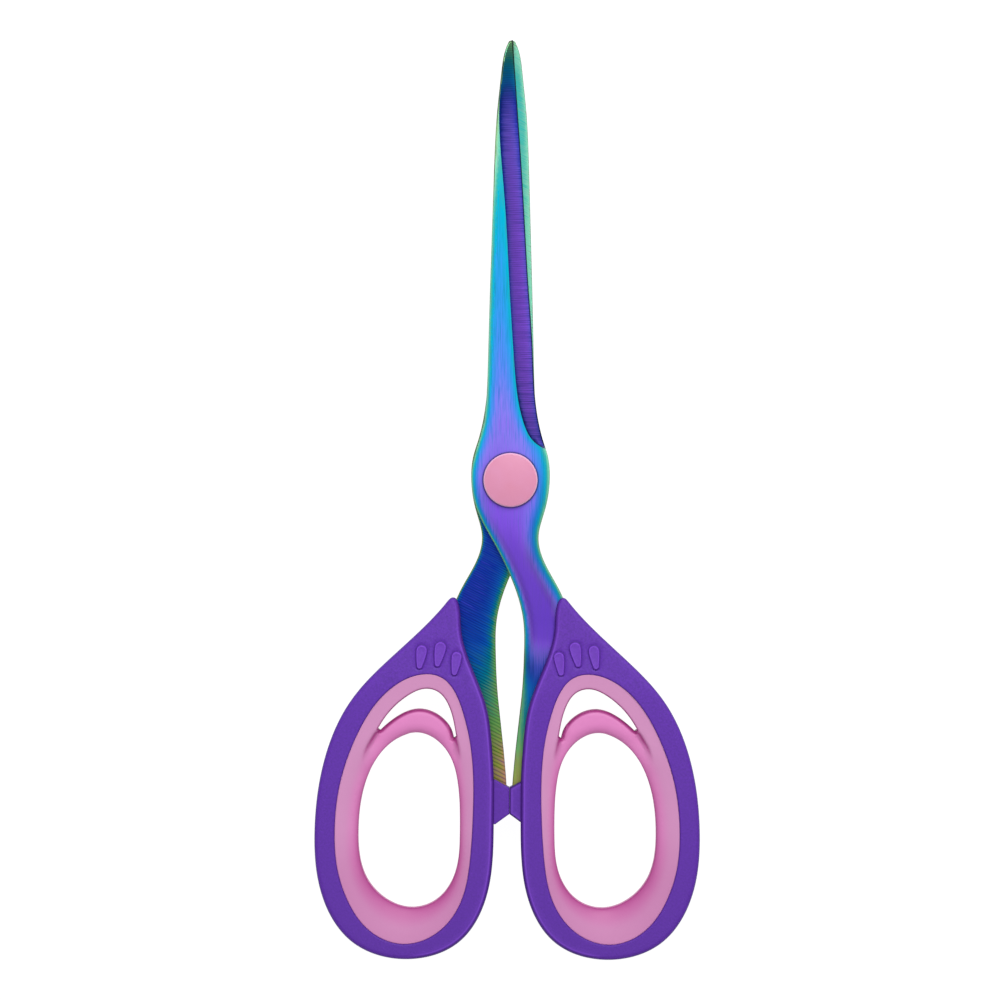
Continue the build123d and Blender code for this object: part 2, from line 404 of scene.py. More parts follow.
def maths(tree, operation, first, second, clamp=False):
    """A Math node; each input is a socket or a number."""
    node = tree.nodes.new("ShaderNodeMath")
    node.operation = operation
    node.use_clamp = clamp
    feed(tree, node.inputs[0], first)
    feed(tree, node.inputs[1], second)
    return node.outputs[0]


def mix_colour(tree, factor, first, second, blend="MIX"):
    """A colour Mix node; factor and colours are sockets or values."""
    node = tree.nodes.new("ShaderNodeMix")
    node.data_type = "RGBA"
    node.blend_type = blend
    node.clamp_factor = True
    for place, value in ((node.inputs["Factor"], factor), (node.inputs[6], first), (node.inputs[7], second)):
        feed(tree, place, value)
    return node.outputs[2]


# The coating's colours as it thickens, from 0 to 1, on polished and on ground steel.
BRIGHT_FILM = [
    (0.0, (0.14, 0.15, 0.06)), (0.08, (0.085, 0.2, 0.1)), (0.14, (0.3, 0.55, 0.24)), (0.21, (0.27, 0.7, 0.47)),
    (0.33, (0.045, 0.42, 0.35)),
    (0.46, (0.0, 0.4, 0.57)), (0.58, (0.025, 0.31, 0.74)), (0.7, (0.085, 0.235, 0.8)), (0.8, (0.24, 0.19, 0.8)),
    (0.92, (0.2, 0.07, 0.62)), (1.0, (0.09, 0.03, 0.47)),
]
GROUND_FILM = [
    (0.0, (0.5, 0.25, 0.13)), (0.1, (0.29, 0.29, 0.055)), (0.22, (0.11, 0.33, 0.065)), (0.34, (0.0, 0.18, 0.2)),
    (0.46, (0.003, 0.085, 0.38)), (0.58, (0.006, 0.03, 0.33)), (0.72, (0.06, 0.07, 0.56)), (0.84, (0.16, 0.11, 0.7)),
    (1.0, (0.28, 0.11, 0.84)),
]


def film_group():
    """Interference colours of the coating, from its thickness, on polished and on ground steel."""
    group, given, made = new_group(
        "Interference Film",
        [("Thickness", "Float", 0.5), ("Ground", "Float", 0.0)],
        [("Color", "Color")],
    )
    bright = ramp_node(group, BRIGHT_FILM)
    ground = ramp_node(group, GROUND_FILM)
    group.links.new(given.outputs["Thickness"], bright.inputs["Fac"])
    group.links.new(given.outputs["Thickness"], ground.inputs["Fac"])
    colour = mix_colour(group, given.outputs["Ground"], bright.outputs["Color"], ground.outputs["Color"])
    group.links.new(colour, made.inputs["Color"])
    return group


def grain_group():
    """Fine moulded grain with slow mottling; Size is in millimetres."""
    group, given, made = new_group(
        "Moulded Grain",
        [("Size", "Float", 0.4), ("Mottle", "Float", 12.0)],
        [("Grain", "Float"), ("Mottling", "Float")],
    )
    place = group.nodes.new("ShaderNodeTexCoord")
    fine = group.nodes.new("ShaderNodeTexNoise")
    fine.inputs["Detail"].default_value = 3.0
    fine.inputs["Roughness"].default_value = 0.65
    slow = group.nodes.new("ShaderNodeTexNoise")
    slow.inputs["Detail"].default_value = 2.0
    for noise, size in ((fine, "Size"), (slow, "Mottle")):
        group.links.new(place.outputs["Object"], noise.inputs["Vector"])
        group.links.new(maths(group, "DIVIDE", 1.0 / MM, given.outputs[size]), noise.inputs["Scale"])
    group.links.new(fine.outputs["Fac"], made.inputs["Grain"])
    group.links.new(slow.outputs["Fac"], made.inputs["Mottling"])
    return group


def strokes_group():
    """Brushing or grinding strokes. Lay is a position in millimetres: x across the strokes and y along them."""
    group, given, made = new_group(
        "Metal Strokes",
        [("Lay", "Vector", None), ("Width", "Float", 0.3), ("Length", "Float", 12.0),
         ("Pitch", "Float", 0.55)],
        [("Strokes", "Float"), ("Lines", "Float")],
    )
    parts = group.nodes.new("ShaderNodeSeparateXYZ")
    group.links.new(given.outputs["Lay"], parts.inputs["Vector"])
    across = maths(group, "DIVIDE", parts.outputs["X"], given.outputs["Width"])
    along = maths(group, "DIVIDE", parts.outputs["Y"], given.outputs["Length"])
    joined = group.nodes.new("ShaderNodeCombineXYZ")
    group.links.new(across, joined.inputs["X"])
    group.links.new(along, joined.inputs["Y"])
    group.links.new(parts.outputs["Z"], joined.inputs["Z"])
    noise = group.nodes.new("ShaderNodeTexNoise")
    noise.inputs["Scale"].default_value = 1.0
    noise.inputs["Detail"].default_value = 2.0
    noise.inputs["Roughness"].default_value = 0.6
    group.links.new(joined.outputs["Vector"], noise.inputs["Vector"])
    group.links.new(noise.outputs["Fac"], made.inputs["Strokes"])
    wander = maths(group, "MULTIPLY", noise.outputs["Fac"], 0.9)
    turns = maths(group, "ADD", maths(group, "DIVIDE", parts.outputs["X"], given.outputs["Pitch"]), wander)
    wave = maths(group, "SINE", maths(group, "MULTIPLY", turns, 2.0 * math.pi), 0.0)
    raised = maths(group, "POWER", maths(group, "MULTIPLY", maths(group, "ADD", wave, 1.0), 0.5), 2.5)
    group.links.new(maths(group, "MULTIPLY", raised, maths(group, "ADD", noise.outputs["Fac"], 0.35)),
                    made.inputs["Lines"])
    return group


GROUPS = {}


def shared_group(name):
    """A node group, made the first time it is asked for."""
    makers = {"film": film_group, "grain": grain_group, "strokes": strokes_group}
    if name not in GROUPS:
        GROUPS[name] = makers[name]()
    return GROUPS[name]


def place_group(tree, name, **values):
    """Places a shared group in a material, with sockets or numbers for its inputs."""
    node = tree.nodes.new("ShaderNodeGroup")
    node.node_tree = shared_group(name)
    for label, value in values.items():
        feed(tree, node.inputs[label], value)
    return node


def new_material(name, roughness, metallic=0.0):
    """A material with a Principled BSDF; returns it with its tree and shader."""
    material = bpy.data.materials.new(name)
    material.use_nodes = True
    tree = material.node_tree
    shader = tree.nodes["Principled BSDF"]
    shader.inputs["Roughness"].default_value = roughness
    shader.inputs["Metallic"].default_value = metallic
    return material, tree, shader


def attribute(tree, name, output="Fac"):
    """Reads a value stored on the mesh."""
    node = tree.nodes.new("ShaderNodeAttribute")
    node.attribute_name = name
    return node.outputs[output]


GRINDING_LINE = (0.2, 0.25, 0.35)
BRUSHING_SCRATCH = (0.03, 0.02, 0.25)
STEEL_SHADOW = (0.015, 0.02, 0.03)
# Dark purple of the handles' painted shade.
HANDLE_PAINTED_SHADE = (0.05, 0.01, 0.17)
RUBBER_BLOOM = (0.86, 0.5, 0.72)
# Dark magenta of the linings' painted shade.
RUBBER_PAINTED_SHADE = (0.4, 0.035, 0.23)
# Pale pink of the caps' painted highlight, and the radius in millimetres where that highlight starts.
CAP_PAINTED_HIGHLIGHT = (0.95, 0.55, 0.76)
CAP_HIGHLIGHT_RADIUS = 5.95
TURNED_STEEL = ((0.42, 0.42, 0.44), (0.62, 0.62, 0.64))


def finish(tree, shader, colour, roughness, height, depth, strength=1.0):
    """Gives a shader its colour, a roughness of (least, span, value), and a relief of that depth in millimetres."""
    least, span, value = roughness
    feed(tree, shader.inputs["Base Color"], colour)
    feed(tree, shader.inputs["Roughness"], maths(tree, "ADD", least, maths(tree, "MULTIPLY", value, span)))
    relief = tree.nodes.new("ShaderNodeBump")
    relief.inputs["Strength"].default_value = strength
    relief.inputs["Distance"].default_value = depth * MM
    feed(tree, relief.inputs["Height"], height)
    feed(tree, shader.inputs["Normal"], relief.outputs["Normal"])


def coated_steel():
    """Brushed and ground steel under a rainbow coating."""
    material, tree, shader = new_material("Rainbow Coated Steel", 0.36, 1.0)
    lay = attribute(tree, "lay", "Vector")
    ground = attribute(tree, "ground")
    fine = place_group(tree, "strokes", Lay=lay, Width=0.26, Length=8.0)
    cut = place_group(tree, "strokes", Lay=lay, Width=2.5, Length=7.0, Pitch=0.55)
    brushing = fine.outputs["Strokes"]
    spread = maths(tree, "MULTIPLY", maths(tree, "SUBTRACT", brushing, 0.5), 0.3)
    thickness = maths(tree, "ADD", attribute(tree, "film"), spread, clamp=True)
    colour = place_group(tree, "film", Thickness=thickness, Ground=ground).outputs["Color"]
    scratched = maths(tree, "MULTIPLY", maths(tree, "SUBTRACT", 0.53, brushing), 2.4, clamp=True)
    cutting = maths(tree, "MULTIPLY", cut.outputs["Lines"], attribute(tree, "cut"))
    lined = mix_colour(tree, cutting, colour, GRINDING_LINE, "MULTIPLY")
    worn = mix_colour(tree, maths(tree, "MULTIPLY", scratched, 0.62), lined, BRUSHING_SCRATCH)
    # The shade attribute mixes painted shadow and other darkening towards a dark steel colour.
    shaded = mix_colour(tree, attribute(tree, "shade"), worn, STEEL_SHADOW)
    finish(tree, shader, shaded, (0.32, 0.18, brushing), brushing, 0.012)
    return material


def handle_plastic(colours):
    """Matte purple plastic with a fine grain, a little lighter on its rounded rims with a painted highlight, with
    painted shade along its edges and painted light that makes it lighter towards the top.
    """
    material, tree, shader = new_material("Purple Matte Plastic", 0.5)
    shader.inputs["Specular IOR Level"].default_value = 0.3
    grain = place_group(tree, "grain", Size=0.5, Mottle=14.0)
    base = tuple(colours.handle)
    darker = tuple(0.62 * value for value in base)
    # The lighter colour is the colour of the painted highlight.
    lighter = (base[0] * 1.6, base[1] * 2.3, base[2] * 1.3)
    speckle = maths(tree, "MULTIPLY", maths(tree, "SUBTRACT", grain.outputs["Grain"], 0.32), 1.3, clamp=True)
    # Painted light: the plastic is darker towards the bottom of the loops and lighter towards the top.
    place = tree.nodes.new("ShaderNodeTexCoord")
    parts = tree.nodes.new("ShaderNodeSeparateXYZ")
    tree.links.new(place.outputs["Object"], parts.inputs["Vector"])
    upper = maths(tree, "MULTIPLY", maths(tree, "ADD", parts.outputs["Y"], 0.105), 15.0, clamp=True)
    tone = mix_colour(tree, upper, tuple(0.84 * value for value in base), tuple(1.1 * value for value in base))
    body = mix_colour(tree, speckle, darker, tone)
    # Painted highlight: lighter lines along the rounded edges and around the drops.
    with_painted_highlight = mix_colour(tree, attribute(tree, "painted_highlight"), body, lighter)
    # Painted shade: the plastic is darkened around the drops, along its edges, around the tab and on the tab's walls.
    with_painted_shade = mix_colour(tree, attribute(tree, "handle_painted_shade"), with_painted_highlight, HANDLE_PAINTED_SHADE)
    finish(tree, shader, with_painted_shade, (0.42, 0.2, grain.outputs["Mottling"]), grain.outputs["Grain"], 0.08, 0.8)
    return material


def lining_rubber(colours):
    """Soft pink rubber, paler on the band and deeper on the lip and the arch, with painted shade mixed in."""
    material, tree, shader = new_material("Pink Soft Rubber", 0.48)
    grain = place_group(tree, "grain", Size=0.7, Mottle=9.0)
    tone = mix_colour(tree, attribute(tree, "blush"), tuple(colours.band), tuple(colours.lip))
    cloudy = maths(tree, "MULTIPLY", grain.outputs["Mottling"], 0.16)
    soft = mix_colour(tree, cloudy, tone, RUBBER_BLOOM)
    # Painted shade: the rubber is darkened towards a dark magenta.
    shaded_rubber = mix_colour(tree, attribute(tree, "rubber_painted_shade"), soft, RUBBER_PAINTED_SHADE)
    finish(tree, shader, shaded_rubber, (0.4, 0.2, grain.outputs["Mottling"]), grain.outputs["Grain"], 0.02, 0.5)
    return material


def cap_plastic(colours):
    """Satin dusty pink plastic, with a painted highlight ring towards its edge."""
    material, tree, shader = new_material("Dusty Pink Plastic", 0.42)
    grain = place_group(tree, "grain", Size=0.35, Mottle=5.0)
    base = tuple(colours.cap)
    warmer = (base[0] * 1.03, base[1] * 0.88, base[2] * 0.8)
    body = mix_colour(tree, grain.outputs["Mottling"], warmer, tuple(1.05 * value for value in base))
    place = tree.nodes.new("ShaderNodeTexCoord")
    across = tree.nodes.new("ShaderNodeVectorMath")
    across.operation = "MULTIPLY_ADD"
    across.inputs[1].default_value = (1.0 / MM, 1.0 / MM, 0.0)
    across.inputs[2].default_value = (-PIVOT[0], -PIVOT[1], 0.0)
    radius = tree.nodes.new("ShaderNodeVectorMath")
    radius.operation = "LENGTH"
    tree.links.new(place.outputs["Object"], across.inputs[0])
    tree.links.new(across.outputs["Vector"], radius.inputs[0])
    # Painted highlight: the cap is lighter in a ring near its edge.
    painted_highlight = maths(tree, "MULTIPLY", maths(tree, "SUBTRACT", radius.outputs["Value"], CAP_HIGHLIGHT_RADIUS), 4.0, clamp=True)
    body = mix_colour(tree, maths(tree, "MULTIPLY", painted_highlight, 0.75), body, CAP_PAINTED_HIGHLIGHT)
    finish(tree, shader, body, (0.36, 0.16, grain.outputs["Grain"]), grain.outputs["Grain"], 0.02, 0.5)
    return material


def turned_steel():
    """Plain turned steel of the rivet and its washers."""
    material, tree, shader = new_material("Turned Steel", 0.35, 1.0)
    grain = place_group(tree, "grain", Size=0.25, Mottle=3.0)
    body = mix_colour(tree, grain.outputs["Grain"], *TURNED_STEEL)
    finish(tree, shader, body, (0.25, 0.3, grain.outputs["Grain"]), grain.outputs["Grain"], 0.01, 0.5)
    return material


# ---------------------------------------------------------------- blades

BLADE_THICKNESS = 2.0
BLADE_RIM_FALL = 0.14
TAPER_FROM, TAPER_TO, TIP_THICKNESS = 97.0, 103.4, 1.0
CAP_RINGS = (6.3, 6.5, 6.8, 7.2)
CAP_SHADOW_RADIUS = 6.45
INNER_GRIND_TILT = math.radians(27.0)
# How thick the coating is along a blade, as (v, thickness): polished face, inner face and hollow grind.
OUTER_FILM = [(-76, 0.04), (-66, 0.14), (-60, 0.28), (-54, 0.43), (-49, 0.54), (-45, 0.66), (-41, 0.84), (-36, 1.04),
              (-28, 1.14), (-16, 1.06), (-8, 0.93), (0, 0.87), (12, 0.81), (20, 0.78), (28, 0.7), (38, 0.63),
              (52, 0.57), (66, 0.46), (76, 0.34), (86, 0.29), (92, 0.2), (97, 0.1), (104, 0.03)]
INNER_FILM = [(-76, 0.02), (-70, 0.08), (-64, 0.13), (-57, 0.22), (-51, 0.32), (-45, 0.42), (-38, 0.53),
              (-28, 0.6), (-14, 0.56), (-6, 0.52), (4, 0.4), (30, 0.27), (54, 0.26), (78, 0.32), (94, 0.34),
              (101, 0.24), (104, 0.12)]
HOLLOW_FILM = [(6, 0.9), (14, 0.96), (24, 1.04), (54, 1.04), (70, 0.96), (80, 0.9), (88, 0.8), (92, 0.64),
               (94.5, 0.5), (98, 0.39), (101.5, 0.27), (104, 0.2)]
WALL_FILM = 0.19
# How far the polished face takes the ground steel's colours, as (v, share).
GROUND_SHARE = [(-50, 0.85), (-44, 0.9), (-38, 0.4), (-33, 0.3), (-10, 0.5), (6, 0.0)]


def profile(stops, at):
    """Reads a value between (place, value) stops."""
    stops = np.array(stops, float)
    return np.interp(at, stops[:, 0], stops[:, 1])


def up_and_down(loop):
    """Splits an anticlockwise outline at its lowest and highest points into its right and left sides."""
    loop = np.roll(loop, -int(np.argmin(loop[:, 1])), axis=0)
    top = int(np.argmax(loop[:, 1]))
    return loop[:top + 1], np.vstack([loop[top:], loop[:1]])


def ring(radius, count=96):
    """A closed circle about the pivot, with its first point repeated."""
    angles = np.linspace(0.0, 2.0 * math.pi, count + 1)
    return np.column_stack([radius * np.cos(angles), radius * np.sin(angles)])


def rimmed(film, edge_film, gap, width):
    """The film's thickness where it falls away to a thinner film at an edge."""
    fade = 1.0 - np.exp(-np.maximum(gap - 0.15, 0.0) / width)
    return np.where(film > edge_film, edge_film + (film - edge_film) * fade, film)


def to_the_tip(line, spine):
    """The grind's upper line, carried on along the spine to the blade's tip."""
    beyond = spine[spine[:, 1] > line[-1, 1] + 0.3]
    return np.vstack([line, beyond[np.argsort(beyond[:, 1])]])


def grind_line(flat, outline, spacing):
    """The upper edge of the hollow grind, from beside the pivot to the tip."""
    on_grind = (distance(flat, outline) > 0.12) & (flat[:, 1] > 6.0)
    start = np.flatnonzero(on_grind & ~np.roll(on_grind, 1))[0]
    line = evenly(np.roll(flat, -start, axis=0)[:int(on_grind.sum())], spacing)
    return line[::-1] if line[0, 1] > line[-1, 1] else line


def film_on_blade(near, kind, v):
    """The coating's thickness at each face corner: it falls away to a thinner film beside every edge."""
    rim_film = 0.2 - 0.1 * step(55.0, 85.0, v)
    along = profile(OUTER_FILM, v)
    polished = rimmed(along, rim_film, near["left"], 0.85 - 0.45 * step(15.0, 60.0, v) + 0.2 * step(65.0, 85.0, v))
    polished = np.where(v < 12.0, rimmed(polished, 0.2, near["right"] + 8.0 * step(-31.0, -38.0, v), 2.0), polished)
    polished = np.where(v > 6.0, np.minimum(polished, rimmed(along, 0.42, near["grind"], 0.9)), polished)
    border_width = 0.25 + 0.09 * (near["grind"] + near["edge"])
    borders = np.exp(-near["edge"] / border_width) + np.exp(-near["grind"] / border_width)
    hollow = profile(HOLLOW_FILM, v) - (0.08 + 0.32 * step(98.0, 84.0, v)) * borders
    inner = rimmed(profile(INNER_FILM, v), 0.2, near["left"], 1.6 - 1.25 * step(-10.0, 10.0, v))
    inner = rimmed(inner, 0.14, near["right"], 0.2) - 0.12 * np.exp(-near["left"] / 0.6) * step(-56.0, -66.0, v)
    return np.clip(np.choose(kind, [polished, hollow, inner, WALL_FILM]), 0.0, 1.0)


def shade_on_blade(near, kind, u, v):
    """How far each face corner is darkened: a painted shadow ring beside the cap, a painted shadow line at the
    cutting edge, and darker along the tang, at the tip, on the inner face and on the walls.
    """
    # Painted shadow: a dark ring on the blade around the cap.
    cap_shadow_ring = 0.8 * np.exp(-((np.hypot(u, v) - CAP_SHADOW_RADIUS) / 0.22) ** 2)
    halo = 0.4 * np.exp(-((near["left"] - 1.7) / 1.1) ** 2) * step(4.0, -20.0, v)
    halo = np.maximum(halo, 0.38 * np.exp(-((near["right"] - 2.8) / 1.4) ** 2) * step(-10.0, -20.0, v))
    halo = np.maximum(halo, 0.15 * step(-8.0, -18.0, v)) * step(-50.0, -38.0, v)
    halo = np.maximum(halo, 0.34 * np.exp(-((v + 42.5) / 4.5) ** 2))
    tip = 0.7 * step(0.35, 0.1, near["left"]) * step(86.0, 93.0, v)
    polished = np.maximum(np.maximum(cap_shadow_ring, halo), tip)
    border = 0.7 * step(30.0, 16.0, v) * np.exp(-near["grind"] / 0.3)
    # Painted shadow: a dark line along the cutting edge.
    hollow = tip + np.maximum(0.95 * step(0.36, 0.16, near["edge"]), border)
    inner = 0.13 * step(0.0, 20.0, v) + 0.12 * step(85.0, 98.0, v) + (
        0.55 * step(1.1, 0.6, near["edge"]) * step(95.0, 98.0, v))
    return np.minimum(np.choose(kind, [polished, hollow, inner, 0.3]), 1.0)


def strokes_on_blade(half, kind, u, v):
    """Where each face corner lies across and along the metal's strokes, with a layer of its own for each kind."""
    slant = v * math.cos(INNER_GRIND_TILT) - u * math.sin(INNER_GRIND_TILT)
    slant = slant + 0.0045 * np.minimum(slant + 15.0, 0.0) ** 2
    run = u * math.cos(INNER_GRIND_TILT) + v * math.sin(INNER_GRIND_TILT)
    across = np.choose(kind, [u, v * 1.3, slant * 1.15, v])
    along = np.choose(kind, [v, u, run, u])
    layer = np.choose(kind, [0.0, 40.0, 80.0, 120.0]) + (0.0 if half == "front" else 17.0)
    return np.column_stack([across, along, layer])


def build_blade(half, sizes, material):
    """One blade: polished flat, hollow grind, tang and inner face."""
    side = SIDES[half]
    node = half + "_blade"
    outlines = [smooth_outline(loop, sizes.spacing) for loop in section_loops(node, side, 0.1, PIVOT)]
    flat = section_loops(node, side, BLADE_THICKNESS - 0.002, PIVOT)[0]
    line = grind_line(flat, outlines[0], sizes.spacing)
    places, triangles, counts = fill(outlines, (0.1, 0.2, 0.35), 0.8,
                                     inner_lines=[line, *(ring(radius) for radius in CAP_RINGS)])
    right, left = up_and_down(outlines[0])
    cutting = outlines[0][(outlines[0][:, 0] > 0) & (outlines[0][:, 1] > line[0, 1])]
    cutting = cutting[np.argsort(cutting[:, 1])]
    lines = {"right": right, "left": left, "grind": to_the_tip(line, left), "edge": cutting}
    gaps = {name: distance(places, each, closed=False) for name, each in lines.items()}
    across = gaps["grind"] / np.maximum(gaps["grind"] + gaps["edge"], 1e-6)
    hollow = sizes.edge_thickness + (BLADE_THICKNESS - sizes.edge_thickness) * (1.0 - across) ** sizes.hollow
    tapered = np.interp(places[:, 1], [TAPER_FROM, TAPER_TO], [BLADE_THICKNESS, TIP_THICKNESS])
    outer_gap = distance(places, outlines[0])
    hole_gap = clear_of(places, outlines[1:])
    rounded = tapered - roll_off(outer_gap, sizes.blade_rounding, BLADE_RIM_FALL) - roll_off(hole_gap, 0.1, 0.08)
    line_at = np.interp(places[:, 1], line[:, 1], line[:, 0])
    in_hollow = ~inside(places, flat) & (gaps["grind"] > 0.02) & (places[:, 1] > line[0, 1] - 1.0) & (
        places[:, 0] > line_at - 0.02)
    top = np.where(in_hollow, np.minimum(hollow, tapered), rounded)
    bottom = roll_off(outer_gap, 0.12, 0.06)
    vertices, faces = closed_shell(places, triangles, counts, top, bottom, ())
    body = piece(node + "_steel", half, PIVOT, vertices, faces, material, 14.0)
    middles = places[triangles].mean(axis=1)
    hollow_face = np.all(in_hollow[triangles] | (gaps["grind"][triangles] < 0.02), axis=1)
    hollow_face &= middles[:, 1] > line[0, 1] - 1
    hollow_face &= middles[:, 0] > np.interp(middles[:, 1], line[:, 1], line[:, 0])
    # A face is of kind 0 on the polished face, 1 in the hollow grind, 2 on the inner face and 3 on the walls.
    kinds = np.concatenate([np.where(hollow_face, 1, 0), np.full(len(triangles), 2),
                            np.full(len(faces) - 2 * len(triangles), 3)])
    kind = np.repeat(kinds, [len(face) for face in faces])
    corner = np.concatenate([np.asarray(face) for face in faces]).astype(int)
    near = {name: gap[corner % len(places)] for name, gap in gaps.items()}
    u, v = vertices[corner, 0], vertices[corner, 1]
    ground = [profile(GROUND_SHARE, v), 1.0 - 0.3 * step(88.0, 94.0, v), step(30.0, 0.0, v), step(30.0, 0.0, v) * 0.6]
    painted = {
        "cut": np.choose(kind, [0.0, 0.55, 0.8 * step(40.0, 0.0, v), 0.0]),
        "film": film_on_blade(near, kind, v),
        "ground": np.choose(kind, ground),
        "shade": shade_on_blade(near, kind, u, v),
        "lay": strokes_on_blade(half, kind, u, v),
    }
    for name, values in painted.items():
        paint(body, name, values, "CORNER")
    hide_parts(node)


# ---------------------------------------------------------------- handles

# The raised drops: the middle of each head, the middle of each tail, and the head's radius.
DROPS = [(np.array(head), np.array(tail), radius) for head, tail, radius in (
    ((20.2, -40.1), (20.7, -43.7), 1.3), ((15.8, -39.4), (16.5, -43.2), 1.38), ((12.0, -41.6), (12.5, -45.2), 1.25))]
DROP_TAIL = 0.72
DROP_TAPER = 1.7
DROP_CONTOURS = (0.4, 0.24, 0.12, 0.0, -0.1, -0.2, -0.32, -0.5)
SHOULDER_FOOT = -49.5
SHOULDER_FALL = 0.084
SHOULDER_BEND = 1.5
RIM_FALL = 0.95
TAB_RIGHT, TAB_TOP, TAB_BOTTOM = 3.05, -70.0, -82.5
TAB_DEPTH = 1.3
TAB_HEIGHT = 4.25
TAB_CLEARANCE = 0.04


def drop_gap(places):
    """Distance outside the nearest raised drop, negative inside it."""
    gaps = []
    for head, tail, radius in DROPS:
        along = tail - head
        t = np.clip((places - head) @ along / (along @ along), 0.0, 1.0)
        centre = head + t[:, None] * along
        gaps.append(np.linalg.norm(places - centre, axis=1) - (radius + (DROP_TAIL - radius) * t**DROP_TAPER))
    return np.min(gaps, axis=0)


def drop_contours(levels):
    """Closed lines about each drop, at distances outside its edge."""
    lines = []
    for head, tail, radius in DROPS:
        axis = (tail - head) / np.linalg.norm(tail - head)
        normal = np.array([-axis[1], axis[0]])
        t = np.linspace(0.0, 1.0, 20)[:, None]
        half_turn = np.linspace(0.0, math.pi, 16)[1:-1, None]
        for level in levels:
            reach = radius + (DROP_TAIL - radius) * t**DROP_TAPER + level
            spine = head + t * (tail - head)
            over = np.sin(half_turn) * axis
            across = np.cos(half_turn) * normal
            lines.append(evenly(np.vstack([
                spine + reach * normal,
                tail + (DROP_TAIL + level) * (over + across),
                (spine - reach * normal)[::-1],
                head - (radius + level) * (over + across),
                (spine + reach * normal)[:1],
            ]), 0.17))
    return lines


def tab_outline(whole, on_tab):
    """The closed outline of the stop tab, clear of the other tab where they meet, and its root in the loop."""
    points = np.flatnonzero(on_tab)
    around = whole[np.arange(points[0] - 1, points[-1] + 2) % len(whole)]
    around[around[:, 0] < around[:, 0].min() + 0.01, 0] -= TAB_CLEARANCE
    root = around[0, 0] + TAB_DEPTH
    return smooth_outline(np.vstack([around, [(root, around[-1, 1]), (root, around[0, 1])]]), 0.25, 20.0)


def build_handle(half, sizes, material):
    """One handle: rounded loop and shoulder, raised drops and the stop tab."""
    side = SIDES[half]
    node = half + "_handle"
    lining_edge = smooth_outline(section_loops(half + "_lining", side, 1.0, LOOPS)[0], sizes.spacing)
    whole = section_loops(node, side, 2.6, LOOPS)[0]
    if area(whole) < 0:
        whole = whole[::-1]
    on_tab = (whole[:, 0] < TAB_RIGHT) & (whole[:, 1] < TAB_TOP) & (whole[:, 1] > TAB_BOTTOM)
    outline = smooth_outline(whole[~on_tab], sizes.spacing)
    places, triangles, counts = fill([outline, lining_edge], (0.08, 0.25, 0.45, 0.65, 0.85, 1.1), 1.0,
                                     inner_lines=drop_contours(DROP_CONTOURS))
    outer_gap = distance(places, outline)
    inner_gap = distance(places, lining_edge)
    drop = drop_gap(places)
    slope = np.logaddexp(0.0, (places[:, 1] - SHOULDER_FOOT) / SHOULDER_BEND) * SHOULDER_BEND * SHOULDER_FALL
    raised = sizes.drop_height * (step(0.05, -0.22, drop) - 0.25 * step(-0.2, -0.7, drop))
    raised -= 0.14 * np.exp(-((drop - 0.18) / 0.16) ** 2)
    top = (HALF_THICKNESS - slope - roll_off(outer_gap, sizes.handle_rounding, RIM_FALL)
           - roll_off(inner_gap, sizes.inner_rounding, 0.3) + raised)
    top = np.minimum(top, HALF_THICKNESS)
    vertices, faces = closed_shell(places, triangles, counts, top, -top, (0.25, 0.5, 0.75))
    tab = tab_outline(whole, on_tab)
    tab_places, tab_triangles, tab_counts = fill([tab], (0.08, 0.22, 0.4, 0.58, 0.76), 0.5)
    tab_gap = distance(tab_places, tab)
    tab_top = TAB_HEIGHT - roll_off(tab_gap, 0.35, 0.3)
    tab_vertices, tab_faces = closed_shell(tab_places, tab_triangles, tab_counts, tab_top, -tab_top, (0.5,))
    faces += [tuple(index + len(vertices) for index in face) for face in tab_faces]
    body = piece(node + "_plastic", half, LOOPS, np.vstack([vertices, tab_vertices]), faces, material, 50.0)

    # Painted highlights: a light line along the rounded edge on the tang side, a light ring around each drop's edge,
    # lighter drop tops and a light line just inside the tab's edge.
    tang_side = step(14.0, 9.0, places[:, 0] + 0.12 * (places[:, 1] + 30.0))
    tang_side_highlight = tang_side * np.exp(-((outer_gap - 0.85) / 0.2) ** 2)
    drop_edge_highlight = np.exp(-((drop + 0.2) / 0.12) ** 2)
    # Painted shade: dark lines around each drop, beside the lining, along the outer edges, along the tang side's wall
    # and around the tab, and darker tab walls.
    outer_dark = 0.55 * step(0.4, 0.05, outer_gap) * (1.0 - tang_side)
    tang_dark = (0.5 * step(0.7, 0.5, outer_gap) + 0.3 * step(0.3, 0.05, outer_gap)) * tang_side
    around_drops = 0.6 * np.exp(-((drop - 0.12) / 0.12) ** 2)
    # The vertices are the front face, the back face and the walls' rings, then the same for the tab.
    count, tab_start, tab_count = len(places), len(vertices), len(tab_places)
    handle_painted_shade = np.zeros(tab_start + len(tab_vertices))
    handle_painted_shade[:count] = handle_painted_shade[count:2 * count] = (
        around_drops + 0.3 * step(0.22, 0.05, inner_gap) + outer_dark + tang_dark)
    handle_painted_shade[tab_start:tab_start + tab_count] = 0.9 * step(0.45, 0.15, tab_gap)
    handle_painted_shade[tab_start + 2 * tab_count:] = 0.8
    painted_highlight = np.zeros(len(handle_painted_shade))
    painted_highlight[:count] = painted_highlight[count:2 * count] = np.clip(0.6 * tang_side_highlight + 0.8 * drop_edge_highlight + 0.25 * step(-0.2, -0.4, drop), 0.0, 1.0)
    painted_highlight[tab_start:tab_start + tab_count] = 0.5 * np.exp(-((tab_gap - 0.62) / 0.13) ** 2)
    paint(body, "handle_painted_shade", handle_painted_shade)
    paint(body, "painted_highlight", painted_highlight)
    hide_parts(node)


# ---------------------------------------------------------------- linings

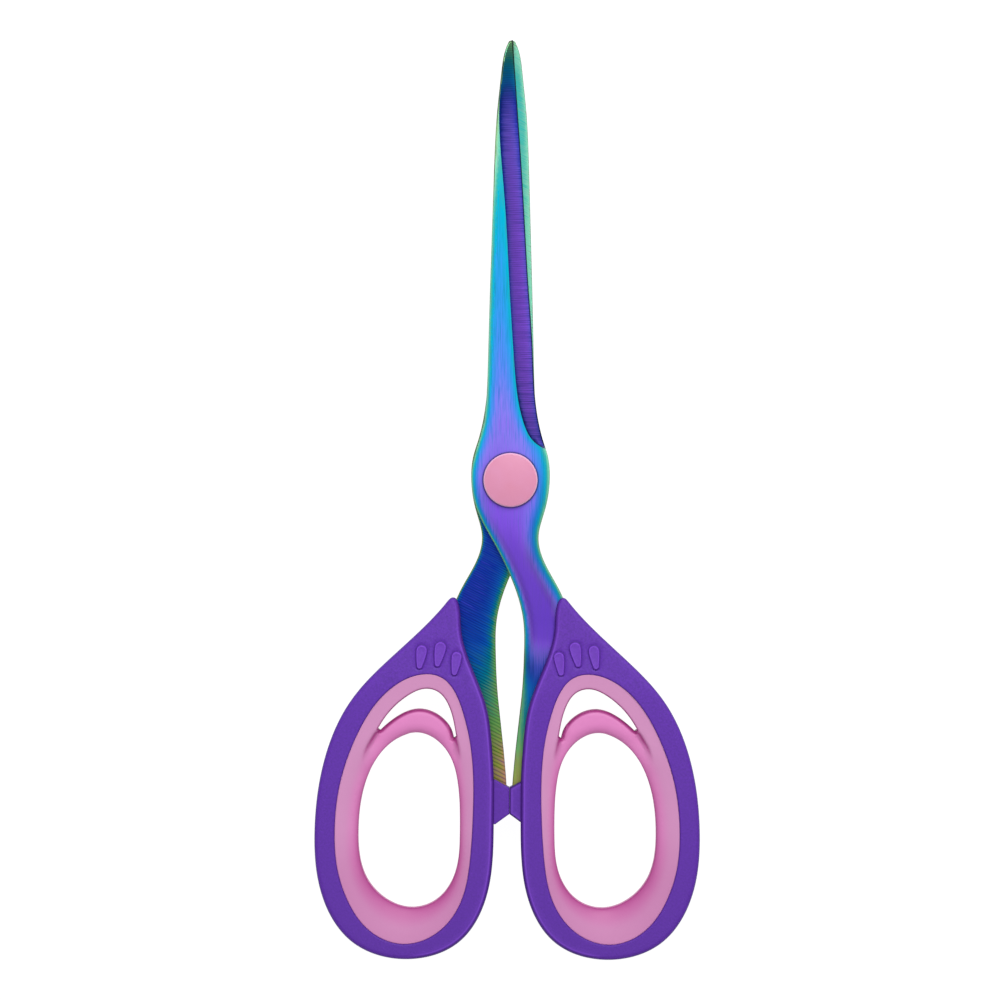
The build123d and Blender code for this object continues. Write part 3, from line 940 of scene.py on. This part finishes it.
# The crease where the springy arch leaves the band, from its outer end over the crescent to its inner end.
ARCH_ZONE = [(34.8, -68.5), (33.0, -63.0), (30.5, -58.8), (26.0, -54.5), (20.0, -51.5), (14.5, -55.0),
             (12.2, -60.6), (11.3, -64.5), (11.0, -68.5)]
ARCH_ZONE_FOOT = -75.0
CREASE_ROWS = (-0.75, -0.4, -0.18, 0.0, 0.18, 0.4, 0.75)
CREASE_TOP = -57.5


def build_lining(half, sizes, material):
    """One lining: sloping band, rounded lip, springy arch and the creases beside it."""
    side = SIDES[half]
    node = half + "_lining"
    loops = [smooth_outline(loop, sizes.spacing) for loop in section_loops(node, side, 1.0, LOOPS)]
    zone = evenly(np.array(ARCH_ZONE), 0.4)
    tangent = np.gradient(zone, axis=0)
    beside = np.column_stack([-tangent[:, 1], tangent[:, 0]]) / np.linalg.norm(tangent, axis=1)[:, None]
    crease_points = np.vstack([zone + offset * beside for offset in CREASE_ROWS])
    places, triangles, counts = fill(loops, (0.06, 0.18, 0.36, 0.6, 0.9), 0.7,
                                     extra_points=crease_points[crease_points[:, 1] < CREASE_TOP])
    v = places[:, 1]
    in_arch = inside(places, np.vstack([zone, [(zone[-1, 0], ARCH_ZONE_FOOT), (zone[0, 0], ARCH_ZONE_FOOT)]]))
    crease_gap = distance(places, zone, closed=False)
    edge_gap, hole_gap, crescent_gap = (distance(places, loop) for loop in loops)
    width = edge_gap + hole_gap
    fraction = edge_gap / np.maximum(width, 1e-6)
    fall = 1.1 + 0.22 * np.minimum(width, 9.0)
    band = (sizes.lining_height - roll_off(edge_gap, 0.25, 0.15)
            - fall * (0.45 * fraction + 0.55 * (1.0 - np.sqrt(np.maximum(0.0, 1.0 - fraction ** 2)))))
    beside_crescent = roll_off(np.where(in_arch, np.inf, crescent_gap), 0.4, 0.5)
    level = sizes.lining_height - 0.12 * edge_gap - beside_crescent
    band += (level - band) * step(-70.0, -60.0, v)
    arch = sizes.arch_height - roll_off(crescent_gap, 1.0, 2.3) - roll_off(hole_gap, 2.4, 1.5)
    share = in_arch * step(0.0, 0.8, crease_gap) * step(-68.0, -60.5, v)
    crease_ends = step(-58.0, -60.0, v) * step(-67.0, -60.5, v)
    top = band * (1.0 - share) + np.minimum(arch, band) * share
    top -= 0.6 * np.exp(-(crease_gap / 0.3) ** 2) * crease_ends
    vertices, faces = closed_shell(places, triangles, counts, top, -top, (0.33, 0.67))
    body = piece(node + "_rubber", half, LOOPS, vertices, faces, material, 60.0)

    blush = np.clip(np.maximum(share, step(0.35, 0.95, fraction)), 0.0, 1.0)
    low = step(-80.0, -97.0, v)
    # Painted shade: dark lines in the creases at the arch's ends and along the crescent, darker inside the arch,
    # along the hole's edge and on the walls, and darker towards the bottom.
    rubber_painted_shade = 0.95 * np.exp(-(crease_gap / 0.32) ** 2) * crease_ends
    rubber_painted_shade += 0.3 * in_arch * np.exp(-crease_gap / 1.2) * crease_ends
    rubber_painted_shade += 0.95 * in_arch * step(1.0, 0.35, crescent_gap)
    rubber_painted_shade += (1.0 - in_arch) * step(0.28, 0.08, crescent_gap)
    rubber_painted_shade += (1.0 - in_arch) * low * (0.26 + 0.34 * blush)
    rubber_painted_shade += 0.4 * step(0.3, 0.05, hole_gap)
    rubber_painted_shade += 0.4 * step(1.4, 0.1, hole_gap) * step(-62.0, -75.0, v) * (1.0 - 0.6 * low)
    for name, on_faces, on_walls in (("blush", blush, 1.0), ("rubber_painted_shade", np.clip(rubber_painted_shade, 0.0, 1.0), 0.7)):
        walls = np.full(len(vertices) - 2 * len(places), on_walls)
        paint(body, name, np.concatenate([on_faces, on_faces, walls]))
    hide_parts(node)


# ---------------------------------------------------------------- operators

FLOOR_REACH = 3.0
FLOOR_HEIGHT = -0.0002
# Each lamp's name, place and size in metres, and power in watts; both point at the origin.
LAMPS = (("softbox", (0.0, 0.1, 1.9), 2.0, 9.5), ("key", (0.12, 0.62, 0.75), 0.45, 5.6))
CAMERA_PLACE = (-0.00195, -0.0002, 1.5)
CAMERA_TURN = math.radians(0.2)
VIEW_WIDTH = 0.2353


def build_halves(context, build, material):
    """Builds a piece for each half, and says that the operator is done."""
    for half in SIDES:
        build(half, context.scene.scissors_sizes, material)
    return {"FINISHED"}


class SCISSORS_OT_blades(bpy.types.Operator):
    """Builds both coated blades"""

    bl_idname = "scissors.blades"
    bl_label = "Blades"

    def execute(self, context):
        return build_halves(context, build_blade, coated_steel())


class SCISSORS_OT_handles(bpy.types.Operator):
    """Builds both hard handles with their drops and stops"""

    bl_idname = "scissors.handles"
    bl_label = "Handles"

    def execute(self, context):
        return build_halves(context, build_handle, handle_plastic(context.scene.scissors_colours))


class SCISSORS_OT_linings(bpy.types.Operator):
    """Builds both soft linings with their arches"""

    bl_idname = "scissors.linings"
    bl_label = "Linings"

    def execute(self, context):
        return build_halves(context, build_lining, lining_rubber(context.scene.scissors_colours))


class SCISSORS_OT_pivot(bpy.types.Operator):
    """Finishes the rivet, its washers and the caps"""

    bl_idname = "scissors.pivot"
    bl_label = "Pivot"

    def execute(self, context):
        steel = turned_steel()
        plastic = cap_plastic(context.scene.scissors_colours)
        finishes = {"pivot_rivet": steel, "front_washer": steel, "rear_washer": steel,
                    "front_cap": plastic, "rear_cap": plastic}
        for node, material in finishes.items():
            mesh = frame["nodes"][node].data
            mesh.materials.clear()
            mesh.materials.append(material)
        return {"FINISHED"}


class SCISSORS_OT_stage(bpy.types.Operator):
    """Adds the floor, the soft lights and the camera"""

    bl_idname = "scissors.stage"
    bl_label = "Stage"

    def execute(self, context):
        scene = context.scene
        scene.view_settings.view_transform = "Standard"
        floor_mesh = bpy.data.meshes.new("floor")
        corners = [(x * FLOOR_REACH, y * FLOOR_REACH, 0.0) for x, y in ((-1, -1), (1, -1), (1, 1), (-1, 1))]
        floor_mesh.from_pydata(corners, [], [(0, 1, 2, 3)])
        floor = bpy.data.objects.new("floor", floor_mesh)
        floor.location.z = FLOOR_HEIGHT
        scene.collection.objects.link(floor)
        paper, _, shader = new_material("Plain Floor", 0.9)
        shader.inputs["Base Color"].default_value = (0.12, 0.12, 0.12, 1.0)
        shader.inputs["Specular IOR Level"].default_value = 0.0
        shader.inputs["Emission Color"].default_value = (*scene.scissors_colours.floor, 1.0)
        shader.inputs["Emission Strength"].default_value = 1.08
        floor_mesh.materials.append(paper)
        world = bpy.data.worlds.new("soft_studio")
        world.use_nodes = True
        sky = world.node_tree.nodes["Background"]
        sky.inputs["Color"].default_value = (1.0, 1.0, 1.0, 1.0)
        sky.inputs["Strength"].default_value = 0.35
        scene.world = world
        for name, place, size, power in LAMPS:
            light = bpy.data.lights.new(name, "AREA")
            light.size = size
            light.energy = power
            lamp = bpy.data.objects.new(name, light)
            lamp.location = place
            lamp.rotation_euler = (-Vector(place)).to_track_quat("-Z", "Y").to_euler()
            scene.collection.objects.link(lamp)
        lens = bpy.data.cameras.new("camera")
        lens.sensor_width = 36.0
        lens.lens = lens.sensor_width * (CAMERA_PLACE[2] - PIVOT[2] * MM) / VIEW_WIDTH
        lens.clip_start = 0.05
        camera = bpy.data.objects.new("camera", lens)
        camera.location = CAMERA_PLACE
        camera.rotation_euler = (0.0, 0.0, CAMERA_TURN)
        scene.collection.objects.link(camera)
        scene.camera = camera
        return {"FINISHED"}


class SCISSORS_PT_panel(bpy.types.Panel):
    """Buttons that build the scissors piece by piece"""

    bl_idname = "SCISSORS_PT_panel"
    bl_label = "Household Scissors"
    bl_space_type = "VIEW_3D"
    bl_region_type = "UI"
    bl_category = "Scissors"

    def draw(self, context):
        for operator in OPERATORS:
            self.layout.operator(operator.bl_idname)
        for settings in (context.scene.scissors_sizes, context.scene.scissors_colours):
            box = self.layout.box()
            for name in settings.bl_rna.properties.keys():
                if name not in ("rna_type", "name"):
                    box.prop(settings, name)


OPERATORS = (SCISSORS_OT_blades, SCISSORS_OT_handles, SCISSORS_OT_linings, SCISSORS_OT_pivot, SCISSORS_OT_stage)
CLASSES = (ScissorsSizes, ScissorsColours, *OPERATORS, SCISSORS_PT_panel)


def register():
    for each in CLASSES:
        bpy.utils.register_class(each)
    bpy.types.Scene.scissors_sizes = bpy.props.PointerProperty(type=ScissorsSizes)
    bpy.types.Scene.scissors_colours = bpy.props.PointerProperty(type=ScissorsColours)


def unregister():
    del bpy.types.Scene.scissors_colours
    del bpy.types.Scene.scissors_sizes
    for each in reversed(CLASSES):
        bpy.utils.unregister_class(each)


def main():
    register()
    bpy.ops.scissors.blades()
    bpy.ops.scissors.handles()
    bpy.ops.scissors.linings()
    bpy.ops.scissors.pivot()
    bpy.ops.scissors.stage()


if __name__ == "__main__":
    main()
